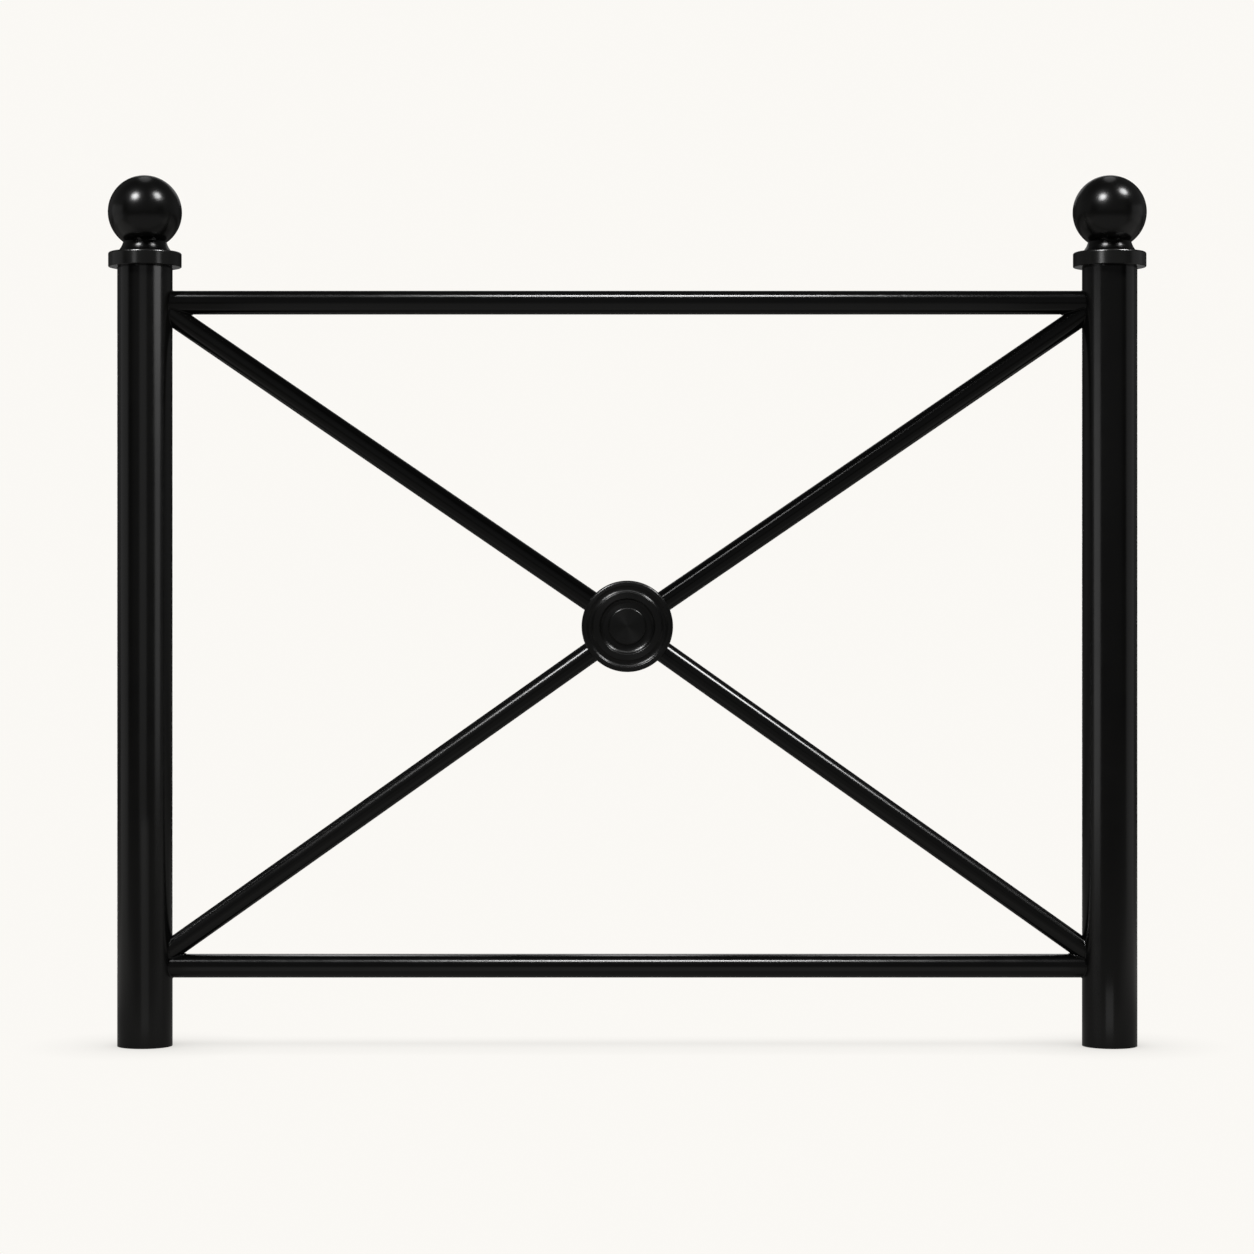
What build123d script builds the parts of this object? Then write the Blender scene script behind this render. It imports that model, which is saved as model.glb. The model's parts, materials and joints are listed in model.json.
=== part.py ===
from build123d import *

import os

# Street barrier: two ball-topped posts joined by two round rails and by a diagonal cross of four arms,
# with a turned medallion on each side of the crossing. All sizes are in millimetres.
# The origin is the centre of the left post's foot. +X runs to the right post, +Z is up and the front
# faces -Y.

# Layout
post_spacing = 1060.0  # between the axes of the posts
post_height = 855.2  # from the ground to the underside of the collar
top_rail_drop = 38.9  # from the post's top down to the top rail's axis
bottom_rail_height = 87.8  # from the ground to the bottom rail's axis
hub_rise = 8.65  # of the crossing above the middle between the rails
upper_brace_drop = 0.5  # from the top rail's underside to the arm's axis, at the post's face
lower_brace_rise = 5.8  # from the bottom rail's top to the arm's axis, at the post's face

# Tubes
post_diameter = 60.3
post_wall = 2.9
rail_diameter = 26.0
rail_wall = 2.3
brace_diameter = 23.5
brace_wall = 2.0
weld_gap = 0.2  # between a coped end and the piece that it is welded to

# Finials
collar_diameter = 80.0
collar_thickness = 16.2
collar_top_round = 2.2
collar_bottom_round = 1.0
spigot_length = 35.0  # of the collar's spigot, inside the post
spigot_clearance = 0.2  # around the spigot, in its seat
spigot_end_gap = 1.0  # between the spigot's end and the bottom of its seat
seat_cut = 0.4  # taken off the tube's inside wall to true up the seat
neck_base_diameter = 61.0
neck_top_diameter = 47.4
neck_height = 11.5
neck_hollow = 1.0  # how far the neck's side curves in from a straight taper
ball_diameter = 80.8

# Crossing
hub_diameter = 60.0
medallion_clearance = 1.2  # between the arms and the back of a medallion
medallion_diameter = 100.0
medallion_thickness = 10.0
rim_width = 5.5  # from the medallion's edge in to the groove
rim_round = 3.0
groove_width = 7.2
groove_depth = 2.0
ring_width = 6.8  # of the flat ring between the groove and the cove
ring_edge_round = 0.8  # of both edges of the ring and of the rim's inner edge
cove_width = 9.9  # from the ring in to the button
cove_depth = 3.6
cove_round = 6.0  # of the curve from the cove's floor up to the ring
button_round = 2.0

# Worked out from the sizes above
post_radius = post_diameter / 2
rail_radius = rail_diameter / 2
brace_radius = brace_diameter / 2
bore_radius = post_radius - post_wall
seat_radius = bore_radius + seat_cut
seat_depth = spigot_length + spigot_end_gap
collar_top = post_height + collar_thickness
neck_top = collar_top + neck_height
top_rail_height = post_height - top_rail_drop
hub_x = post_spacing / 2
hub_height = (top_rail_height + bottom_rail_height) / 2 + hub_rise
hub_radius = hub_diameter / 2
hub_length = brace_diameter + 2 * medallion_clearance


def make_post(x):
    """A tube that stands on its foot, with a seat bored in its top for the collar's spigot."""
    with BuildPart() as post:
        with BuildSketch(Plane(origin=(x, 0, 0))):
            Circle(post_radius)
            Circle(bore_radius, mode=Mode.SUBTRACT)
        extrude(amount=post_height)
        with BuildSketch(Plane(origin=(x, 0, post_height))):
            Circle(seat_radius)
        extrude(amount=-seat_depth, mode=Mode.SUBTRACT)
    return post


def make_rail(height):
    """A level tube from post to post, with both ends coped to the posts."""
    with BuildPart() as rail:
        with BuildSketch(Plane(origin=(0, 0, height), z_dir=(1, 0, 0))):
            Circle(rail_radius)
            Circle(rail_radius - rail_wall, mode=Mode.SUBTRACT)
        extrude(amount=post_spacing)
        with Locations((0, 0, height), (post_spacing, 0, height)):
            Cylinder(post_radius + weld_gap, post_diameter, mode=Mode.SUBTRACT)
    return rail


def make_brace(post_x, joint_height, rail_height):
    """An arm from the hub to a post, coped to the hub, to the post and to the rail in the same corner."""
    inward = 1 if post_x < hub_x else -1
    hub_centre = Vector(hub_x, 0, hub_height)
    joint = Vector(post_x + inward * post_radius, 0, joint_height)
    direction = (joint - hub_centre).normalized()
    length = abs((post_x - hub_x) / direction.X)
    with BuildPart() as brace:
        with BuildSketch(Plane(origin=hub_centre, z_dir=direction)):
            Circle(brace_radius)
            Circle(brace_radius - brace_wall, mode=Mode.SUBTRACT)
        extrude(amount=length)
        with Locations(Location((hub_x, 0, hub_height), (90, 0, 0))):
            Cylinder(hub_radius + weld_gap, hub_length, mode=Mode.SUBTRACT)
        with Locations((post_x, 0, post_height / 2)):
            Cylinder(post_radius + weld_gap, post_height, mode=Mode.SUBTRACT)
        with Locations(Location((hub_x, 0, rail_height), (0, 90, 0))):
            Cylinder(rail_radius + weld_gap, post_spacing, mode=Mode.SUBTRACT)
    return brace


def make_collar(x):
    """A thick round cap with rounded edges, seated on the post's end, with a spigot inside the tube."""
    with BuildPart() as collar:
        with BuildSketch(Plane(origin=(x, 0, post_height))):
            Circle(collar_diameter / 2)
        extrude(amount=collar_thickness)
        fillet(collar.edges().sort_by(Axis.Z)[-1], collar_top_round)
        fillet(collar.edges().sort_by(Axis.Z)[0], collar_bottom_round)
        with BuildSketch(Plane(origin=(x, 0, post_height))):
            Circle(seat_radius - spigot_clearance)
        extrude(amount=-spigot_length)
    return collar


def make_neck(x):
    """A turned neck that flares down to the collar in a shallow hollow curve."""
    base = (neck_base_diameter / 2, 0)
    top = (neck_top_diameter / 2, neck_height)
    with BuildPart() as neck:
        with BuildSketch(Plane(origin=(x, 0, collar_top), x_dir=(1, 0, 0), z_dir=(0, -1, 0))):
            with BuildLine():
                SagittaArc(base, top, neck_hollow)
                Polyline(top, (0, neck_height), (0, 0), base)
            make_face()
        revolve(axis=Axis((x, 0, collar_top), (0, 0, 1)))
    return neck


def make_ball(x):
    """A ball cut flat where it sits on the neck, to the width of the neck's top."""
    centre_rise = ((ball_diameter / 2) ** 2 - (neck_top_diameter / 2) ** 2) ** 0.5
    with BuildPart() as ball:
        with Locations((x, 0, neck_top + centre_rise)):
            Sphere(ball_diameter / 2)
        split(bisect_by=Plane(origin=(x, 0, neck_top)), keep=Keep.TOP)
    return ball


def make_hub():
    """The round boss that the four arms are welded to."""
    with BuildPart() as hub:
        with BuildSketch(Plane(origin=(hub_x, hub_length / 2, hub_height), z_dir=(0, -1, 0))):
            Circle(hub_radius)
        extrude(amount=hub_length)
    return hub


def make_medallion(facing):
    """A turned disc on the hub's end: rim, round groove, flat ring, cove and raised button.

    facing is -1 for the front one and 1 for the rear one.
    """
    radius = medallion_diameter / 2
    groove_end = radius - rim_width
    groove_start = groove_end - groove_width
    cove_end = groove_start - ring_width
    cove_run = (cove_round**2 - (cove_round - cove_depth) ** 2) ** 0.5
    button_radius = cove_end - cove_width
    face = medallion_thickness
    cove_floor = face - cove_depth
    button_edge = (button_radius - button_round, face)
    button_side = (button_radius, face - button_round)
    cove_corner = (button_radius, cove_floor)
    cove_start = (cove_end - cove_run, cove_floor)
    cove_top = (cove_end, face)
    groove_inner = (groove_start, face)
    groove_bottom = (groove_start + groove_width / 2, face - groove_depth)
    groove_outer = (groove_end, face)
    rim_edge = (radius - rim_round, face)
    rim_side = (radius, face - rim_round)
    seat = Plane(
        origin=(hub_x, facing * hub_length / 2, hub_height), x_dir=(1, 0, 0), z_dir=(0, 0, facing)
    )
    with BuildPart() as medallion:
        with BuildSketch(seat):
            with BuildLine():
                Line((0, face), button_edge)
                TangentArc(button_edge, button_side, tangent=(1, 0))
                Polyline(button_side, cove_corner, cove_start)
                TangentArc(cove_start, cove_top, tangent=(1, 0))
                Line(cove_top, groove_inner)
                ThreePointArc(groove_inner, groove_bottom, groove_outer)
                Line(groove_outer, rim_edge)
                TangentArc(rim_edge, rim_side, tangent=(1, 0))
                Polyline(rim_side, (radius, 0), (0, 0), (0, face))
            make_face()
        revolve(axis=Axis((hub_x, 0, hub_height), (0, 1, 0)))
        sharp = [round(size, 3) for size in (cove_end, groove_start, groove_end)]
        circles = medallion.edges().filter_by(GeomType.CIRCLE)
        fillet([edge for edge in circles if round(edge.radius, 3) in sharp], ring_edge_round)
    return medallion


def save(piece, name):
    piece.part.label = name
    export_step(piece.part, f"parts/{name}.step")


os.makedirs("parts", exist_ok=True)

upper_joint = top_rail_height - rail_radius - upper_brace_drop
lower_joint = bottom_rail_height + rail_radius + lower_brace_rise

for side, x in (("left", 0.0), ("right", post_spacing)):
    save(make_post(x), f"{side}_post")
    save(make_collar(x), f"{side}_finial_collar")
    save(make_neck(x), f"{side}_finial_neck")
    save(make_ball(x), f"{side}_finial_ball")
    save(make_brace(x, upper_joint, top_rail_height), f"upper_{side}_brace")
    save(make_brace(x, lower_joint, bottom_rail_height), f"lower_{side}_brace")

save(make_rail(top_rail_height), "top_rail")
save(make_rail(bottom_rail_height), "bottom_rail")
save(make_hub(), "centre_hub")
save(make_medallion(-1), "front_medallion")
save(make_medallion(1), "rear_medallion")
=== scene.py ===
import json
import math

import bpy
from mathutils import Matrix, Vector


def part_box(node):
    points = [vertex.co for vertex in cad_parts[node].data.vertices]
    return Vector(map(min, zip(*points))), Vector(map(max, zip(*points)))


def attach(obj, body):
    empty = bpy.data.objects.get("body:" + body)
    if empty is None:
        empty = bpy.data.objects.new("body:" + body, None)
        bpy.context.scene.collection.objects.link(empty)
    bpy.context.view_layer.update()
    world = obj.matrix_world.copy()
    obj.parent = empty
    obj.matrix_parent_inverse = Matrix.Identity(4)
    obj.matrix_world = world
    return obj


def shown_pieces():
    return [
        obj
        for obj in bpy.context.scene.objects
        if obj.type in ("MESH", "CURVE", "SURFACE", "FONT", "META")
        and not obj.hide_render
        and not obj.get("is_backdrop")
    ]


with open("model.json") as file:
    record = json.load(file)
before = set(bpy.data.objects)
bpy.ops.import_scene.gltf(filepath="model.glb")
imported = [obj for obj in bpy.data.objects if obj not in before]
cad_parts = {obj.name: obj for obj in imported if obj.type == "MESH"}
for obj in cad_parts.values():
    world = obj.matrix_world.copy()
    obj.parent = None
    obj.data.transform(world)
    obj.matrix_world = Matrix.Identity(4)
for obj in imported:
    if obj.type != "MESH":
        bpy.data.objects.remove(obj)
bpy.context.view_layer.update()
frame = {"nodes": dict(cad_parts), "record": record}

# Where things are, in metres, read from the frame
nodes = frame["nodes"]
left_post_low, left_post_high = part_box("left_post")
right_post_low, right_post_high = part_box("right_post")
hub_low, hub_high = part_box("centre_hub")
post_radius = (left_post_high.x - left_post_low.x) / 2
hub_radius = (hub_high.z - hub_low.z) / 2
hub_centre = (hub_low + hub_high) / 2
left_x = (left_post_low.x + left_post_high.x) / 2
right_x = (right_post_low.x + right_post_high.x) / 2
middle_x = (left_x + right_x) / 2
rail_heights = {}
for name in ("top_rail", "bottom_rail"):
    low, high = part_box(name)
    rail_heights[name] = (low.z + high.z) / 2
    rail_radius = (high.z - low.z) / 2
brace_names = [f"{level}_{side}_brace" for level in ("upper", "lower") for side in ("left", "right")]
brace_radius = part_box("upper_left_brace")[1].y

# The photograph's frame: pixels of the square picture, and the barrier's scale in it
photo_pixels = 1254
metres_per_pixel = 0.0010988
ground_row = 1045.6
middle_column = 627.3

# The camera's lens and sensor, in millimetres
lens = 95.0
sensor = 36.0

# Sizes of the weld beads, in metres, and the steps that they are made in
bead_leg = 0.0012
bead_bulge = 0.00012
bead_sink = 0.0001
bead_pitch = 0.0026
bead_ripple = 0.06  # share of the leg
bead_steps = 240
bead_face_steps = 5
clear_of_hub = 3  # hub radii from the crossing to a point of an arm that is outside the hub

# Colours, linear
page_colour = (0.9605, 0.9425, 0.9085, 1.0)
glow_colour = (1.0, 1.0, 1.0, 1.0)
paint_colour = (0.0018, 0.0018, 0.0017, 1.0)
worn_colour = (0.0042, 0.0042, 0.0039, 1.0)
dust_colour = (0.018, 0.017, 0.015, 1.0)

# Paint: features per metre of its tone, dust and gloss, and the range of each noise that is used
tone_scale, tone_range = 11.0, (0.35, 0.7)
dust_scale, dust_range = 70.0, (0.45, 0.75)
gloss_scale, gloss_range = 38.0, (0.3, 0.7)
most_wear = 0.45
most_dust = 0.3
dust_slope = 0.75  # how far up a surface faces before dust settles on it
paint_ior = 1.5
quarter_turn = 0.25

# How bright the room is in reflections, from straight ahead of the barrier (-1) to straight behind it (1)
room_levels = (
    (-1.0, 0.10), (-0.80, 0.09), (-0.60, 0.02), (-0.42, 0.03), (-0.30, 0.12), (0.55, 0.12), (0.90, 0.02),
)
# How far up or down the room dims, and to what share
room_dimming = (0.3, 0.85)
room_dimmest = 0.25

# How bright the floor is in reflections, over metres behind the barrier and metres out from its middle
floor_depth_levels = (
    (-3.2, 0.05), (-2.6, 0.13), (-0.40, 0.15), (-0.25, 0.24), (-0.12, 0.22), (0.3, 0.12), (0.9, 0.15),
    (1.8, 0.15), (3.0, 0.03), (5.5, 0.03), (7.0, 0.08),
)
floor_width_levels = ((0.5, 0.0), (0.9, 0.22), (1.3, 0.36), (2.6, 0.36), (4.0, 0.12))
side_pool_fade = (0.5, 1.2)  # metres ahead or behind over which the pools at the sides end
floor_half_width = 40.0

# The barrier's soft shade on the floor: its depth as a share, and its reach in metres
floor_shade = 0.5
floor_shade_reach = 0.11
floor_shade_samples = 16
rail_shadow = 0.068
rail_shadow_reach = 0.040
rail_shadow_offset = 0.020
rail_shadow_fade = 0.05

# Lights: distances in metres, and directions from the barrier's middle
far = 4.5  # to the large softboxes
from_left = (-0.40, -0.60, 0.69)
from_right = (0.547, -0.35, 0.76)
left_radiance = 36.0
right_radiance = 32.0
main_size = (1.2, 1.2)
# Directions from each ball to the softboxes of its left and right spots, then to those of its neck's spots
finial_spots = {
    "left": (
        (-0.360, -0.637, 0.672), (0.616, -0.377, 0.703), (-0.322, -0.450, 0.833), (0.511, -0.268, 0.817),
    ),
    "right": (
        (-0.421, -0.617, 0.671), (0.515, -0.291, 0.796), (-0.335, -0.412, 0.848), (0.564, -0.281, 0.777),
    ),
}
finial_rows = ("ball", "neck", "collar")
camera_lean = 0.144  # sideways part of the line from a post to the camera
# Height and radiance of the strip at each post's foot, and its gap above the floor
foot_strips = {"left": (0.24, 0.18), "right": (0.05, 0.4)}
foot_gap = 0.002


# Materials


def new_nodes(name):
    """A material with an empty node tree."""
    material = bpy.data.materials.new(name)
    material.use_nodes = True
    tree = material.node_tree
    tree.nodes.clear()
    return material, tree


def add(tree, kind, **settings):
    """A new node with its settings, where a key that names an input sets that input's value."""
    node = tree.nodes.new(kind)
    for key, value in settings.items():
        if hasattr(node, key):
            setattr(node, key, value)
        else:
            node.inputs[key.replace("_", " ")].default_value = value
    return node


def noise(tree, place, scale, detail):
    """A noise over the barrier's own metres, with scale in features per metre."""
    node = add(tree, "ShaderNodeTexNoise", Scale=scale, Detail=detail)
    tree.links.new(place, node.inputs["Vector"])
    return node.outputs["Fac"]


def spread(tree, value, low, high, to_low, to_high):
    """Maps a value's range low to high onto to_low to to_high, held at both ends."""
    node = add(tree, "ShaderNodeMapRange", clamp=True)
    for socket, number in zip(list(node.inputs)[1:5], (low, high, to_low, to_high)):
        socket.default_value = number
    tree.links.new(value, node.inputs["Value"])
    return node.outputs["Result"]


def graded(tree, value, levels):
    """A line through pairs of value and level, held at both ends."""
    low, high = levels[0][0], levels[-1][0]
    node = add(tree, "ShaderNodeValToRGB")
    stops = node.color_ramp.elements
    for index, (at, level) in enumerate(levels):
        share = (at - low) / (high - low)
        if index == 0:
            stop = stops[0]
        elif index == len(levels) - 1:
            stop = stops[-1]
        else:
            stop = stops.new(share)
        stop.position = share
        stop.color = (level, level, level, 1.0)
    tree.links.new(spread(tree, value, low, high, 0.0, 1.0), node.inputs["Fac"])
    return node.outputs["Color"]


def mix_colour(tree, share, first, second):
    """A blend of two colours, where first is a socket or a plain colour."""
    node = add(tree, "ShaderNodeMix", data_type="RGBA")
    factor, colour_a, colour_b = node.inputs[0], node.inputs[6], node.inputs[7]
    tree.links.new(share, factor)
    if isinstance(first, tuple):
        colour_a.default_value = first
    else:
        tree.links.new(first, colour_a)
    colour_b.default_value = second
    return node.outputs[2]


def combine(tree, operation, first, second=0.0):
    """A sum, product or the like of two sockets, or of a socket and a number."""
    node = add(tree, "ShaderNodeMath", operation=operation)
    for socket, value in zip(node.inputs, (first, second)):
        if isinstance(value, (int, float)):
            socket.default_value = value
        else:
            tree.links.new(value, socket)
    return node.outputs["Value"]


def bump(tree, height, distance, below=None):
    """A full-strength bump of that distance in metres, on top of another one where it is given."""
    node = add(tree, "ShaderNodeBump", Strength=1.0, Distance=distance)
    tree.links.new(height, node.inputs["Height"])
    if below is not None:
        tree.links.new(below, node.inputs["Normal"])
    return node.outputs["Normal"]


def make_paint(name, roughness, peel, wave, turned=0.0):
    """Gloss black coating: faint tone and gloss changes, orange peel, slow waves and settled dust.

    roughness is a range. peel and wave are each a pair of features per metre and depth in metres.
    turned is how much wider highlights are across the marks of turning than along them, on a disc
    that faces along Y.
    """
    peel_scale, peel_depth = peel
    wave_scale, wave_depth = wave
    material, tree = new_nodes(name)
    place = add(tree, "ShaderNodeTexCoord").outputs["Object"]
    shader = add(tree, "ShaderNodeBsdfPrincipled", IOR=paint_ior)
    output = add(tree, "ShaderNodeOutputMaterial")
    tree.links.new(shader.outputs["BSDF"], output.inputs["Surface"])

    tone = spread(tree, noise(tree, place, tone_scale, 4.0), *tone_range, 0.0, most_wear)
    colour = mix_colour(tree, tone, paint_colour, worn_colour)
    up = add(tree, "ShaderNodeSeparateXYZ")
    tree.links.new(add(tree, "ShaderNodeNewGeometry").outputs["Normal"], up.inputs["Vector"])
    facing_up = spread(tree, up.outputs["Z"], dust_slope, 1.0, 0.0, 1.0)
    patches = spread(tree, noise(tree, place, dust_scale, 6.0), *dust_range, 0.0, most_dust)
    dust = combine(tree, "MULTIPLY", facing_up, patches)
    colour = mix_colour(tree, dust, colour, dust_colour)
    tree.links.new(colour, shader.inputs["Base Color"])

    gloss = spread(tree, noise(tree, place, gloss_scale, 5.0), *gloss_range, *roughness)
    tree.links.new(gloss, shader.inputs["Roughness"])

    peel_normal = bump(tree, noise(tree, place, peel_scale, 1.0), peel_depth)
    wave_normal = bump(tree, noise(tree, place, wave_scale, 1.0), wave_depth, peel_normal)
    tree.links.new(wave_normal, shader.inputs["Normal"])
    if turned:
        shader.inputs["Anisotropic"].default_value = turned
        shader.inputs["Anisotropic Rotation"].default_value = quarter_turn
        around = add(tree, "ShaderNodeTangent", direction_type="RADIAL", axis="Y")
        tree.links.new(around.outputs["Tangent"], shader.inputs["Tangent"])
    return material


def make_floor_material():
    """The pale floor: the page's colour with the barrier's soft shade, and in reflections lit in pools."""
    material, tree = new_nodes("pale_floor")
    place = add(tree, "ShaderNodeSeparateXYZ")
    tree.links.new(add(tree, "ShaderNodeNewGeometry").outputs["Position"], place.inputs["Vector"])
    depth = place.outputs["Y"]
    out = combine(tree, "ABSOLUTE", combine(tree, "SUBTRACT", place.outputs["X"], middle_x))

    open_sky = add(
        tree, "ShaderNodeAmbientOcclusion", samples=floor_shade_samples, Distance=floor_shade_reach
    ).outputs["AO"]
    shade = spread(tree, open_sky, 0.0, 1.0, 1.0 - floor_shade, 1.0)
    from_rail = combine(tree, "ABSOLUTE", combine(tree, "SUBTRACT", depth, rail_shadow_offset))
    across_rail = spread(tree, from_rail, 0.0, rail_shadow_reach, rail_shadow, 0.0)
    half_rail = (right_x - left_x) / 2
    along_rail = spread(tree, out, half_rail, half_rail + rail_shadow_fade, 1.0, 0.0)
    rail_light = combine(tree, "SUBTRACT", 1.0, combine(tree, "MULTIPLY", across_rail, along_rail))
    shade = combine(tree, "MULTIPLY", shade, rail_light)

    depth_light = graded(tree, depth, floor_depth_levels)
    abreast = spread(tree, combine(tree, "ABSOLUTE", depth), *side_pool_fade, 1.0, 0.0)
    side_light = combine(tree, "MULTIPLY", graded(tree, out, floor_width_levels), abreast)
    reflected = combine(tree, "MAXIMUM", depth_light, side_light)
    level = add(tree, "ShaderNodeMix", B=1.0)
    tree.links.new(add(tree, "ShaderNodeLightPath").outputs["Is Camera Ray"], level.inputs["Factor"])
    tree.links.new(reflected, level.inputs["A"])
    light = add(tree, "ShaderNodeEmission", Color=page_colour)
    tree.links.new(combine(tree, "MULTIPLY", shade, level.outputs["Result"]), light.inputs["Strength"])
    output = add(tree, "ShaderNodeOutputMaterial")
    tree.links.new(light.outputs["Emission"], output.inputs["Surface"])
    return material


# Weld beads


def tube_direction(node, start):
    """The direction of a straight tube's axis, from a point on it, in the barrier's plane."""
    across = up = both = 0.0
    total = Vector()
    for vertex in node.data.vertices:
        offset = vertex.co - start
        total += offset
        across += offset.x * offset.x
        up += offset.z * offset.z
        both += offset.x * offset.z
    angle = math.atan2(2 * both, across - up) / 2
    direction = Vector((math.cos(angle), 0, math.sin(angle)))
    return direction if direction.dot(total) > 0 else -direction


def reach(origin, direction, centre, axis, radius):
    """How far a line runs before it meets a round post, rail or hub, and that surface's normal there."""
    offset = origin - centre
    offset -= axis * offset.dot(axis)
    heading = direction - axis * direction.dot(axis)
    a = heading.dot(heading)
    b = offset.dot(heading)
    c = offset.dot(offset) - radius * radius
    inside = b * b - a * c
    if a < 1e-9 or inside < 0:
        return None
    distance = (-b - math.sqrt(inside)) / a
    if distance <= 0:
        return None
    return distance, (offset + heading * distance).normalized()


def seam_of(start, direction, radius, carriers):
    """The closed seam where a tube meets what carries it: points, tube normals and carrier normals."""
    side = Vector((0, 1, 0))
    over = direction.cross(side)
    points, tube_normals, carrier_normals = [], [], []
    for step in range(bead_steps):
        turn = 2 * math.pi * step / bead_steps
        normal = side * math.cos(turn) + over * math.sin(turn)
        origin = start + normal * radius
        hits = [reach(origin, direction, *carrier) for carrier in carriers]
        distance, carrier_normal = min((hit for hit in hits if hit), key=lambda hit: hit[0])
        points.append(origin + direction * distance)
        tube_normals.append(normal)
        carrier_normals.append(carrier_normal)
    return points, tube_normals, carrier_normals


def make_bead(name, start, direction, radius, carriers, material):
    """A rippled fillet weld along the seam of a tube's end, as one closed ring."""
    points, tube_normals, carrier_normals = seam_of(start, direction, radius, carriers)
    vertices, faces = [], []
    run = 0.0
    for step, point in enumerate(points):
        after = points[(step + 1) % bead_steps]
        before = points[step - 1]
        along = (after - before).normalized()
        run += (point - before).length
        back = tube_normals[step].cross(along)
        if back.dot(direction) > 0:
            back.negate()
        out = carrier_normals[step].cross(along)
        if out.dot(tube_normals[step]) < 0:
            out.negate()
        leg = bead_leg * (1 + bead_ripple * math.sin(2 * math.pi * run / bead_pitch))
        toe_on_tube = point + back * leg - tube_normals[step] * bead_sink
        toe_on_carrier = point + out * leg - carrier_normals[step] * bead_sink
        proud = (back + out).normalized()
        for face_step in range(bead_face_steps + 1):
            share = face_step / bead_face_steps
            swell = proud * bead_bulge * math.sin(math.pi * share)
            vertices.append(toe_on_tube.lerp(toe_on_carrier, share) + swell)
        vertices.append(point - (tube_normals[step] + carrier_normals[step]) * bead_sink)
    ring = bead_face_steps + 2
    for step in range(bead_steps):
        first = step * ring
        second = (step + 1) % bead_steps * ring
        for corner in range(ring):
            following = (corner + 1) % ring
            faces.append((first + corner, first + following, second + following, second + corner))
    mesh = bpy.data.meshes.new(name)
    mesh.from_pydata(vertices, [], faces)
    mesh.shade_smooth()
    mesh.materials.append(material)
    bead = bpy.data.objects.new(name, mesh)
    bpy.context.scene.collection.objects.link(bead)
    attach(bead, "root")


def make_beads(material):
    """Beads at the ends of the rails and arms."""
    upright, level, through = Vector((0, 0, 1)), Vector((1, 0, 0)), Vector((0, 1, 0))
    posts = {
        "left": (Vector((left_x, 0, 0)), upright, post_radius),
        "right": (Vector((right_x, 0, 0)), upright, post_radius),
    }
    for rail_name, height in rail_heights.items():
        start = Vector((middle_x, 0, height))
        for side, direction in (("left", -level), ("right", level)):
            make_bead(f"{side}_{rail_name}_weld", start, direction, rail_radius, [posts[side]], material)
    for brace_name in brace_names:
        row, side, _ = brace_name.split("_")
        height = rail_heights["top_rail" if row == "upper" else "bottom_rail"]
        rail = (Vector((middle_x, 0, height)), level, rail_radius)
        direction = tube_direction(nodes[brace_name], hub_centre)
        make_bead(f"{brace_name}_weld", hub_centre, direction, brace_radius, [posts[side], rail], material)
        inner_start = hub_centre + direction * hub_radius * clear_of_hub
        hub = (hub_centre, through, hub_radius)
        make_bead(f"{brace_name}_hub_weld", inner_start, -direction, brace_radius, [hub], material)


# Stage: floor, page, lights and camera


def make_floor():
    """A wide flat floor at the posts' feet."""
    half = floor_half_width
    corners = [(-half, -half, 0), (half, -half, 0), (half, half, 0), (-half, half, 0)]
    mesh = bpy.data.meshes.new("floor")
    mesh.from_pydata([Vector(c) + Vector((middle_x, 0, 0)) for c in corners], [], [(0, 1, 2, 3)])
    mesh.materials.append(make_floor_material())
    floor = bpy.data.objects.new("floor", mesh)
    bpy.context.scene.collection.objects.link(floor)
    floor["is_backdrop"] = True


def make_page():
    """The page behind: pale to the eye, and in reflections a dim room that is lightest at its sides."""
    world = bpy.data.worlds.new("page")
    bpy.context.scene.world = world
    world.use_nodes = True
    tree = world.node_tree
    tree.nodes.clear()
    page = add(tree, "ShaderNodeBackground", Color=page_colour)
    glow = add(tree, "ShaderNodeBackground", Color=glow_colour)
    place = add(tree, "ShaderNodeTexCoord").outputs["Generated"]
    heading = add(tree, "ShaderNodeSeparateXYZ")
    tree.links.new(place, heading.inputs["Vector"])
    room = graded(tree, heading.outputs["Y"], room_levels)
    steepness = combine(tree, "ABSOLUTE", heading.outputs["Z"])
    dimmed = spread(tree, steepness, *room_dimming, 1.0, room_dimmest)
    tree.links.new(combine(tree, "MULTIPLY", room, dimmed), glow.inputs["Strength"])
    choice = add(tree, "ShaderNodeMixShader")
    tree.links.new(add(tree, "ShaderNodeLightPath").outputs["Is Camera Ray"], choice.inputs["Fac"])
    tree.links.new(glow.outputs["Background"], choice.inputs[1])
    tree.links.new(page.outputs["Background"], choice.inputs[2])
    output = add(tree, "ShaderNodeOutputWorld")
    tree.links.new(choice.outputs["Shader"], output.inputs["Surface"])


def make_softbox(name, lit, direction, distance, size, radiance, seen_from=hub_centre, rounded=False):
    """A softbox of that width and height that lights the pieces in lit, seen from a point in a direction."""
    width, height = size
    light = bpy.data.lights.new(name, "AREA")
    light.shape = "ELLIPSE" if rounded else "RECTANGLE"
    light.size = width
    light.size_y = height
    light.energy = radiance * math.pi * width * height * (math.pi / 4 if rounded else 1)
    lamp = bpy.data.objects.new(name, light)
    bpy.context.scene.collection.objects.link(lamp)
    towards = Vector(direction).normalized()
    lamp.location = seen_from + towards * distance
    lamp.rotation_euler = towards.to_track_quat("Z", "Y").to_euler()
    lamp.visible_camera = False
    receivers = bpy.data.collections.new(f"lit_by_{name}")
    for piece in lit:
        receivers.objects.link(piece)
    lamp.light_linking.receiver_collection = receivers


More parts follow.
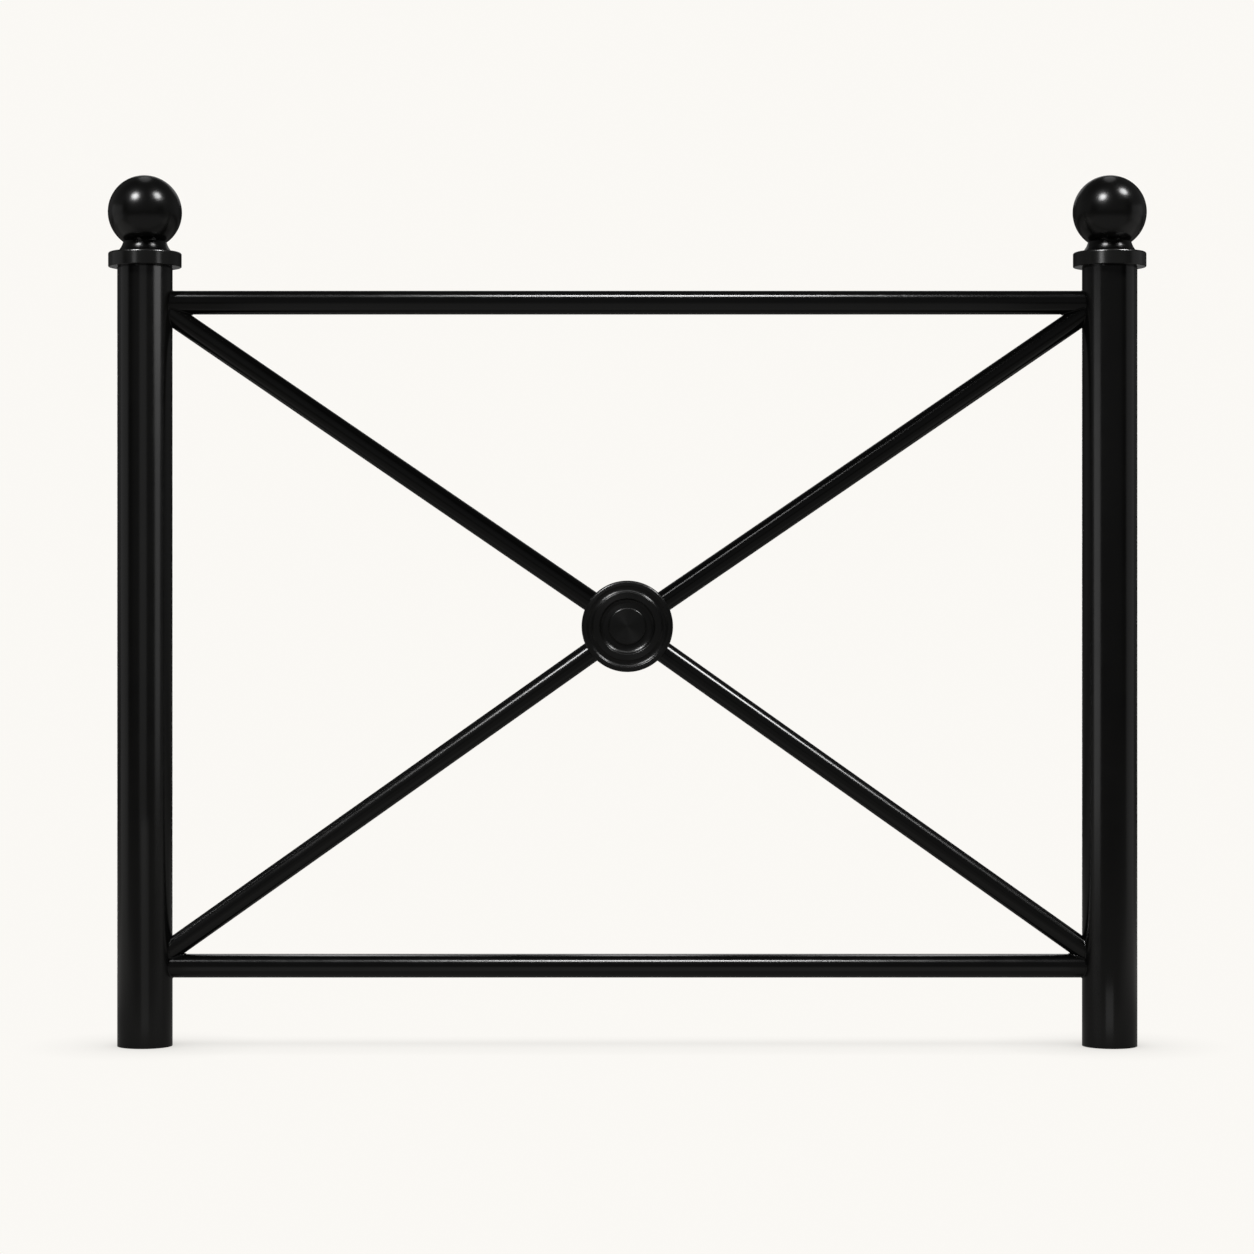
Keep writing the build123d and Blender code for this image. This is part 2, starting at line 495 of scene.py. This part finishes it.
def light_arms(shown):
    """The two main softboxes, on all but the finials and rails, each kept off the arm it leaves dull."""
    apart = [nodes[f"{side}_finial_{row}"] for side in ("left", "right") for row in finial_rows]
    apart += [nodes["top_rail"], nodes["bottom_rail"]]
    plain = [piece for piece in shown if piece not in apart and "rail_weld" not in piece.name]
    left_lit = [piece for piece in plain if "upper_right_brace" not in piece.name]
    right_lit = [piece for piece in plain if "upper_left_brace" not in piece.name]
    dim_arm = [nodes["upper_right_brace"]]
    make_softbox("left_softbox", left_lit, from_left, far, main_size, left_radiance, rounded=True)
    make_softbox("right_softbox", right_lit, from_right, far, main_size, right_radiance, rounded=True)
    make_softbox("left_softbox_dim", dim_arm, from_left, far, (0.6, 0.6), 9.0, rounded=True)


def light_side(side, out):
    """The spots on one finial and the bands on its post, where out is -1 on the left and 1 on the right."""
    post = [nodes[f"{side}_post"]]
    ball, neck, collar = ([nodes[f"{side}_finial_{row}"]] for row in finial_rows)
    ball_left, ball_right, neck_left, neck_right = finial_spots[side]
    low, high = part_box(f"{side}_finial_ball")
    ball_centre = (low + high) / 2
    for name, lit, direction, size, radiance in (
        ("finial_left", ball + collar, ball_left, (1.5, 1.5), 28.0),
        ("finial_right", ball + collar, ball_right, (1.5, 1.5), 20.0),
        ("neck_left", neck, neck_left, (1.3, 0.8), 28.0),
        ("neck_right", neck, neck_right, (1.2, 0.7), 15.0),
    ):
        make_softbox(f"{side}_{name}_softbox", lit, direction, far, size, radiance, ball_centre, True)

    low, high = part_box(f"{side}_finial_collar")
    collar_centre = (low + high) / 2
    low_behind = (camera_lean * out, 0.985, -0.108)
    make_softbox(f"{side}_collar_under_strip", collar, low_behind, 3.0, (0.6, 0.6), 0.15, collar_centre)
    overhead = (camera_lean / 2 * out, 0.495, 0.866)
    make_softbox(f"{side}_ball_overhead", ball, overhead, 3.0, (0.8, 2.1), 0.5, ball_centre, True)
    low_ahead = (-0.12 * out, -0.81, -0.57)
    make_softbox(f"{side}_ball_low_panel", ball, low_ahead, 0.6, (1.6, 0.5), 0.09, ball_centre, True)

    low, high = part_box(f"{side}_post")
    post_centre = (low + high) / 2
    column = post + ball + neck + collar
    make_softbox(f"{side}_side_panel", column, (out, -0.02, 0.1), 2.6, (2.3, 1.8), 0.20, post_centre)
    behind = (camera_lean * out, 0.99, 0.0)
    make_softbox(f"{side}_rear_strip", post, behind, 0.5, (0.18, 0.8), 2.0, post_centre)
    foot_rise, foot_glow = foot_strips[side]
    foot = Vector((post_centre.x, 0.0, foot_gap + foot_rise / 2))
    ahead = (-camera_lean * out, -0.99, 0.0)
    make_softbox(f"{side}_foot_strip", post, ahead, 0.16, (0.08, foot_rise), foot_glow, foot)


def light_collars():
    """Glints on the collars' upper edges and upright strips on their sides."""
    left, right = [nodes["left_finial_collar"]], [nodes["right_finial_collar"]]
    for side, direction in (("left", from_left), ("right", from_right)):
        make_softbox(f"{side}_collar_softbox", left + right, direction, far, (1.25, 1.25), 50.0, rounded=True)
    make_softbox("left_collar_left_strip", left, (-0.53, -0.84, 0.12), 4.0, (0.7, 0.9), 1.9)
    make_softbox("left_collar_right_strip", left, (0.72, -0.68, 0.12), 4.0, (0.8, 0.9), 2.9)
    make_softbox("right_collar_strip", right, (-0.46, -0.88, 0.12), 4.0, (0.8, 0.9), 7.5)


def light_medallions():
    """Arcs on the turned faces, with the main softboxes mirrored behind for the rear one."""
    front, rear = [nodes["front_medallion"]], [nodes["rear_medallion"]]
    make_softbox("medallion_softbox", front + rear, (0.0, -0.54, 0.84), far, (3.6, 0.8), 4.0)
    make_softbox("medallion_front_panel", front + rear, (0.0, -1.0, 0.0), 3.0, (0.8, 0.8), 0.08)
    make_softbox("medallion_rear_panel", rear, (0.0, 0.98, -0.2), 0.9, (0.8, 0.5), 0.35)
    for side, (x, y, z), radiance in (
        ("left", from_left, left_radiance),
        ("right", from_right, right_radiance),
    ):
        behind = (x, -y, z)
        make_softbox(f"medallion_rear_{side}_softbox", rear, behind, far, main_size, radiance, rounded=True)


def light_rails():
    """The line on each rail, its glint at the left end, its paler front, and streaks along the bottom one."""
    top, bottom = [nodes["top_rail"]], [nodes["bottom_rail"]]
    middle = Vector((middle_x, 0.0, rail_heights["top_rail"]))
    make_softbox("top_rail_softbox", top, (0.023, -0.446, 0.895), 2.2, (0.62, 0.3), 45.0, middle)
    make_softbox("top_rail_end_softbox", top, (-0.405, -0.408, 0.818), 2.2, (0.15, 0.3), 25.0, middle)
    make_softbox("top_rail_low_panel", top, (0.0, -0.80, -0.60), 0.6, (1.0, 0.8), 0.11, middle)
    middle = Vector((middle_x, 0.0, rail_heights["bottom_rail"]))
    make_softbox("bottom_rail_softbox", bottom, (0.018, -0.60, 0.80), 2.8, (0.69, 0.3), 45.0, middle)
    make_softbox("bottom_rail_end_softbox", bottom, (-0.319, -0.569, 0.758), 2.8, (0.15, 0.3), 10.0, middle)
    make_softbox("bottom_rail_low_panel", bottom, (0.0, -0.92, -0.39), 0.12, (1.0, 0.08), 0.10, middle)
    for place, sideways, width in (("left", -0.31, 0.29), ("middle", 0.013, 0.17), ("right", 0.32, 0.25)):
        behind = (sideways, 0.57, 0.82)
        make_softbox(f"bottom_rail_{place}_streak", bottom, behind, 1.5, (width, 0.55), 3.6, middle)


def light_posts():
    """Soft upright bands on the posts' fronts, brighter at the top of the left one."""
    left, right = [nodes["left_post"]], [nodes["right_post"]]
    make_softbox("left_post_front_strip", left, (-0.16, -0.98, 0.02), 3.1, (1.6, 1.6), 0.25)
    make_softbox("left_post_strip", left, (0.84, -0.54, 0.05), 3.0, (1.4, 0.9), 0.75)
    make_softbox("left_post_top_strip", left, (0.80, -0.52, 0.30), 3.1, (1.9, 0.7), 2.4)
    make_softbox("left_post_top_core", left, (0.80, -0.52, 0.30), 3.1, (0.9, 0.7), 3.0)
    make_softbox("right_post_strip", right, (-0.84, -0.54, 0.02), 3.0, (1.8, 1.3), 0.95)


def light_rear(shown):
    """A wide softbox behind, dim on the pieces whose outlines it would pale in the front view."""
    bright_names = (
        "left_post", "right_post", "front_medallion", "rear_medallion", "bottom_rail", "centre_hub",
    )
    bright = [nodes[name] for name in bright_names]
    dim = [piece for piece in shown if piece not in bright]
    behind = (0.0, 0.88, 0.47)
    make_softbox("rear_softbox", bright, behind, far, (3.0, 1.6), 1.2)
    make_softbox("rear_softbox_dim", dim, behind, far, (3.0, 1.6), 0.35)


def make_lights():
    """Soft lights, many of them for a single piece, because the photograph's highlights differ by piece."""
    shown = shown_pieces()
    light_arms(shown)
    light_side("left", -1)
    light_side("right", 1)
    light_collars()
    light_medallions()
    light_rails()
    light_posts()
    light_rear(shown)


def make_camera():
    """The photograph's view, level and square to the barrier."""
    view_width = photo_pixels * metres_per_pixel
    camera_data = bpy.data.cameras.new("camera")
    camera_data.lens = lens
    camera_data.sensor_width = sensor
    camera = bpy.data.objects.new("camera", camera_data)
    bpy.context.scene.collection.objects.link(camera)
    camera.location = (
        middle_x - (middle_column - photo_pixels / 2) * metres_per_pixel,
        -view_width * lens / sensor,
        (ground_row - photo_pixels / 2) * metres_per_pixel,
    )
    camera.rotation_euler = (math.pi / 2, 0, 0)
    bpy.context.scene.camera = camera


tube_paint = make_paint("tube_paint_coat", (0.17, 0.21), (420.0, 0.000003), (16.0, 0.000012))
casting_paint = make_paint("casting_paint_coat", (0.20, 0.24), (520.0, 0.000002), (30.0, 0.00003))
medallion_paint = make_paint("medallion_paint_coat", (0.27, 0.31), (520.0, 0.000001), (30.0, 0.00001), 0.62)
for row in frame["record"]["subparts"]:
    coat = tube_paint if row["material_slot"] == "tube_paint" else casting_paint
    if "medallion" in row["node"]:
        coat = medallion_paint
    nodes[row["node"]].data.materials.clear()
    nodes[row["node"]].data.materials.append(coat)

make_beads(tube_paint)
make_floor()
make_page()
make_lights()
make_camera()
bpy.context.scene.view_settings.view_transform = "Standard"
